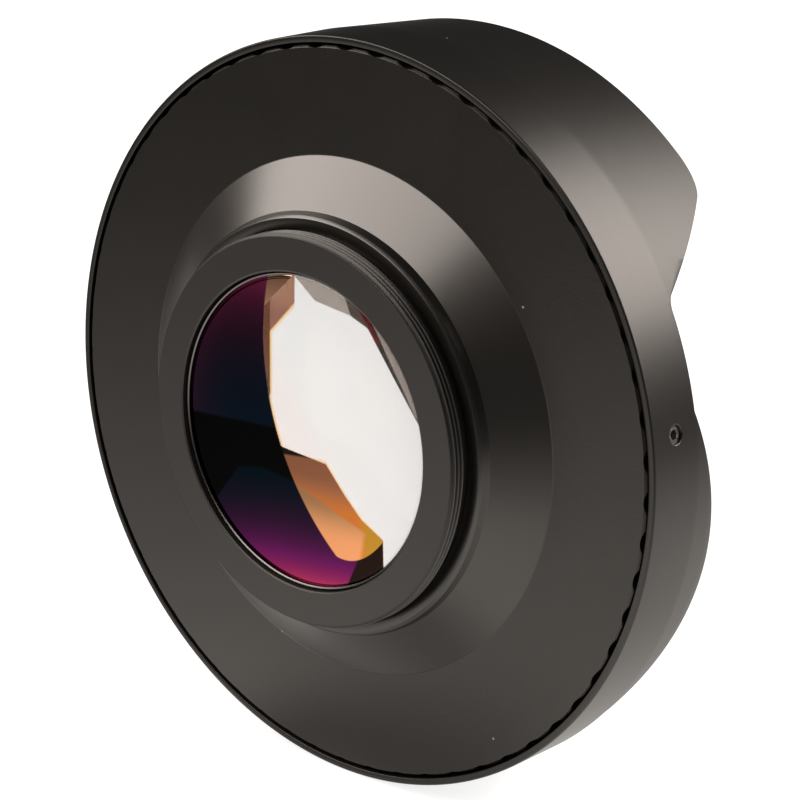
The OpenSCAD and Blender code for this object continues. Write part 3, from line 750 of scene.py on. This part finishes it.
def rear_glass():
    """Rear doublet: gently convex rear face that fills the ring, a step, a straight edge, a flat front."""
    face = cap(REAR_CURVE, REAR_FACE_R, REAR_RIM, -1, 40)
    edge = [(REAR_FACE_R + 0.03, REAR_RIM + 0.05), (REAR_FACE_R + 0.03, RING_FOOT - 0.05),
            (REAR_FACE_R + BEVEL, RING_FOOT), (REAR_GLASS_R - BEVEL, RING_FOOT),
            (REAR_GLASS_R, RING_FOOT + BEVEL), (REAR_GLASS_R, FLINT_FRONT - BEVEL),
            (REAR_GLASS_R - BEVEL, FLINT_FRONT), (12.0, FLINT_FRONT), (0.0, FLINT_FRONT)]
    replaced = ["rear_crown_lens", "rear_flint_lens"]
    lens("rear_glass_face", np.concatenate([face, edge]), 240, "rear_glass", replaced)


def third_glass():
    """Third lens: flat behind, domed in front."""
    back = [(0.0, THIRD_BACK), (10.0, THIRD_BACK), (THIRD_R - BEVEL, THIRD_BACK),
            (THIRD_R, THIRD_BACK + BEVEL), (THIRD_R, THIRD_FLAT - BEVEL), (THIRD_R - BEVEL, THIRD_FLAT),
            (THIRD_HALF + 0.1, THIRD_FLAT)]
    dome = cap(THIRD_CURVE, THIRD_HALF, THIRD_FLAT, 1, 32)[::-1]
    lens("third_glass", np.concatenate([back, dome]), 240, "inner_glass", ["third_lens"])


def second_glass():
    """Second lens: hollow behind, domed in front."""
    hollow = cap(HOLLOW_CURVE, HOLLOW_HALF, SECOND_BACK, 1, 32)
    edge = [(HOLLOW_HALF + 0.1, SECOND_BACK), (SECOND_R - BEVEL, SECOND_BACK),
            (SECOND_R, SECOND_BACK + BEVEL), (SECOND_R, SECOND_FLAT - BEVEL), (SECOND_R - BEVEL, SECOND_FLAT),
            (SECOND_HALF + 0.1, SECOND_FLAT)]
    dome = cap(SECOND_CURVE, SECOND_HALF, SECOND_FLAT, 1, 32)[::-1]
    lens("second_glass", np.concatenate([hollow, edge, dome]), 240, "inner_glass", ["second_lens"])


def front_glass():
    """Front element: domed face, flat rim, straight edge, and a hollow behind of a given depth."""
    dome = cap(DOME_CURVE, DOME_HALF, FRONT_FLAT, 1, 60)
    edge = [(DOME_HALF + 0.1, FRONT_FLAT), (FRONT_R - 0.2, FRONT_FLAT), (FRONT_R, FRONT_FLAT - 0.2),
            (FRONT_R, FRONT_BACK + BEVEL), (FRONT_R - BEVEL, FRONT_BACK),
            (FRONT_HOLLOW_HALF + 0.1, FRONT_BACK)]
    depth = FRONT_APEX - FRONT_THICK - FRONT_BACK
    curve = (FRONT_HOLLOW_HALF ** 2 + depth ** 2) / (2 * depth)
    hollow = cap(curve, FRONT_HOLLOW_HALF, FRONT_BACK, 1, 48)[::-1]
    lens("front_glass_dome", np.concatenate([dome, edge, hollow]), 288, "front_glass", ["front_lens"])


def rear_ring():
    """Thin turned ring that holds the rear glass: bright inner chamfer, and a dark groove at the collar."""
    profile = rounded([
        (RING_EDGE_R, RING_FOOT, 0.04),
        (RING_EDGE_R, RING_EDGE, 0.03),
        (RING_TOP_R, RING_TOP, 0.03),
        (RING_TOP_R + 0.08, RING_TOP + 0.02, 0.03),
        (RING_TOP_R + 0.12, RING_GROOVE, 0.03),
        (REAR_GLASS_R, RING_GROOVE, 0.03),
        (REAR_GLASS_R, RING_FOOT, 0.04)])
    clock = np.linspace(0, 360, 360, endpoint=False)
    points = turned(profile[:, :1], profile[:, 1:], clock)
    faces = grid_faces(len(profile), len(clock))
    piece("rear_glass_ring", points, faces, "lens_body", "rear_ring_anodised", ["rear_retaining_ring"])


mount_collar()
notched_housing()
petal_hood()
rear_glass()
third_glass()
second_glass()
front_glass()
rear_ring()


def floor_finish():
    """White paper: plain white to the camera and through glass, a shadow from its diffuse part, and in what
    the metal mirrors a painted glow that fades with distance, with a painted shadow under the lens and dimmer
    or brighter patches. Distances in metres."""
    f = Finish("floor_paper")
    camera, through, glossy = [f.place.add("ShaderNodeLightPath", out=k) for k in (
        "Is Camera Ray", "Is Transmission Ray", "Is Glossy Ray")]
    far = (f.x * f.x + f.y * f.y) ** 0.5
    # Painted shadow of the lens on the floor, in the mirrored glow alone
    painted_shadow_under_lens = far.step(0.04, 0.015) * f.y.step(0.02, 0.0)
    behind_right = f.x.step(0.0, 0.06) * f.y.step(-0.06, -0.12)
    front_right = f.x.step(0.0, 0.08) * f.y.step(0.05, 0.1)
    behind_left = f.x.step(-0.18, -0.3) * f.y.step(-0.12, -0.02)
    right = f.x.step(-0.12, -0.01) * (1 - 0.8 * f.y.step(0.0, 0.03))
    dim = 0.65 * painted_shadow_under_lens + 0.6 * behind_right
    mirrored = far.step(0.5, 0.0) * (1 - dim) * (0.92 + 0.46 * right)
    mirrored = mirrored * (1 + 0.3 * front_right) + 0.5 * behind_left
    white = camera * (0.82 + 0.18 * far.step(0.3, 1.2)) + 0.72 * through
    seen = f.place.add("ShaderNodeEmission", (), {"Strength": white})
    paper = f.place.add("ShaderNodeBsdfDiffuse", (), {"Color": (0.3, 0.3, 0.3, 1)})
    sheet = f.place.add("ShaderNodeAddShader", (), {0: seen, 1: paper})
    glow = f.place.add("ShaderNodeEmission", (), {"Color": (1, 0.955, 0.9, 1), "Strength": 1.3 * mirrored})
    both = f.place.add("ShaderNodeMixShader", (), {0: glossy * (1 - through), 1: sheet, 2: glow})
    f.tree.links.new(both.socket, f.tree.nodes["Material Output"].inputs["Surface"])
    return f.material


def floor_sheet():
    """Square floor of six metres under the lens."""
    side = np.array([-3.0, 3.0])
    grid = np.stack(np.meshgrid(side, side, indexing="ij"), -1).reshape(-1, 2)
    points = np.concatenate([grid, np.full((4, 1), FLOOR_Z * MM)], 1)
    mesh = bpy.data.meshes.new("floor")
    mesh.from_pydata(points.tolist(), [], [(0, 2, 3, 1)])
    mesh.materials.append(floor_finish())
    made = bpy.data.objects.new("floor", mesh)
    bpy.context.scene.collection.objects.link(made)


def softbox(name, direction, distance, width, height, radiance):
    """Rectangular lamp that looks at the lens; its power is pi * area * radiance."""
    lamp = bpy.data.lights.new(name, "AREA")
    lamp.shape = "RECTANGLE"
    lamp.size, lamp.size_y = width, height
    lamp.color = (1.0, 0.93, 0.87)
    lamp.energy = np.pi * width * height * radiance
    made = bpy.data.objects.new(name, lamp)
    away = unit(np.array(direction, float))
    side = unit(np.cross((0, 0, 1), away))
    turn = Matrix(np.stack([side, np.cross(away, side), away], 1).tolist()).to_4x4()
    made.matrix_world = Matrix.Translation((away * distance).tolist()) @ turn
    bpy.context.scene.collection.objects.link(made)


def studio():
    """White background for the camera and through glass, a dim room for the rest, two softboxes."""
    world = bpy.data.worlds.new("studio")
    bpy.context.scene.world = world
    world.use_nodes = True
    tree = world.node_tree
    start = Wire(tree, None)
    camera, through, diffuse = [start.add("ShaderNodeLightPath", out=k) for k in (
        "Is Camera Ray", "Is Transmission Ray", "Is Diffuse Ray")]
    direction = start.add("ShaderNodeTexCoord", out="Generated")
    height = start.add("ShaderNodeSeparateXYZ", (), {0: direction}, 2)
    room = height.step(0.12, -0.05) * 0.2 + 0.025
    seen = camera.most(through)
    strength = seen + (1 - seen) * (diffuse * 0.3 + (1 - diffuse) * room)
    background = tree.nodes["Background"]
    background.inputs["Color"].default_value = (1, 1, 1, 1)
    tree.links.new(strength.socket, background.inputs["Strength"])
    softbox("softbox_behind", (-0.52, -0.58, 0.6), 0.9, 1.2, 0.56, 5.2)
    softbox("softbox_front", (0.583, 0.6, 0.548), 1.16, 1.0, 0.8, 9.0)


def photo_camera():
    """Camera fitted to the photograph's circles."""
    data = bpy.data.cameras.new("camera")
    data.sensor_fit = "HORIZONTAL"
    data.sensor_width = SENSOR_MM
    data.lens = SENSOR_MM * FOCAL_PX / FRAME_PX
    data.clip_start = 0.01
    made = bpy.data.objects.new("camera", data)
    ahead, right = np.array(CAMERA_AHEAD), np.array(CAMERA_RIGHT)
    turn = Matrix(np.stack([right, np.cross(right, ahead), -ahead], 1).tolist()).to_4x4()
    made.matrix_world = Matrix.Translation(CAMERA_PLACE) @ turn
    bpy.context.scene.collection.objects.link(made)
    bpy.context.scene.camera = made


floor_sheet()
studio()
photo_camera()
bpy.context.scene.view_settings.view_transform = "Standard"
